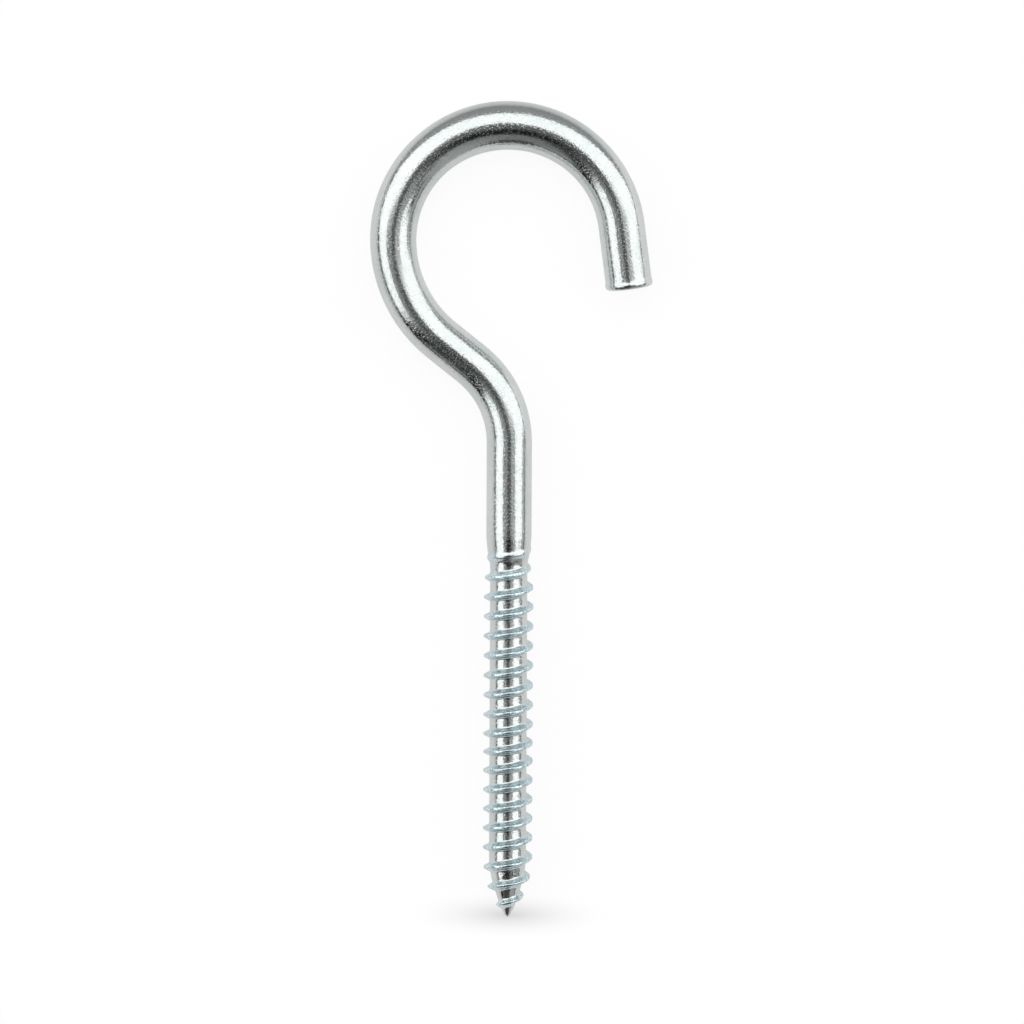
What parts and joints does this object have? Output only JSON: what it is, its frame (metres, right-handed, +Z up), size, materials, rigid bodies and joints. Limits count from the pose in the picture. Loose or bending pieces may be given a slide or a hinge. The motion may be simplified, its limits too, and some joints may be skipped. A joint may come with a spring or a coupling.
{
  "type": "screw hook",
  "caption": "Round-wire screw hook: an open bow with a short straight arm, a cranked neck, a plain shank and a coarse wood-screw thread that ends in a gimlet point.",
  "frame": {"origin": "under the middle of the hook, on the surface that it lies on", "axes": "+X towards the mouth of the bow, +Y along the shank from the point to the bow, +Z up from that surface"},
  "size_m": [0.0356, 0.1046, 0.0064],
  "materials": {
    "zinc_plated_steel": "bright zinc plating on drawn steel wire, glossy with a fine grain and a faint blue cast"
  },
  "bodies": {
    "root": {"screw_hook": "zinc_plated_steel"}
  },
  "joints": []
}
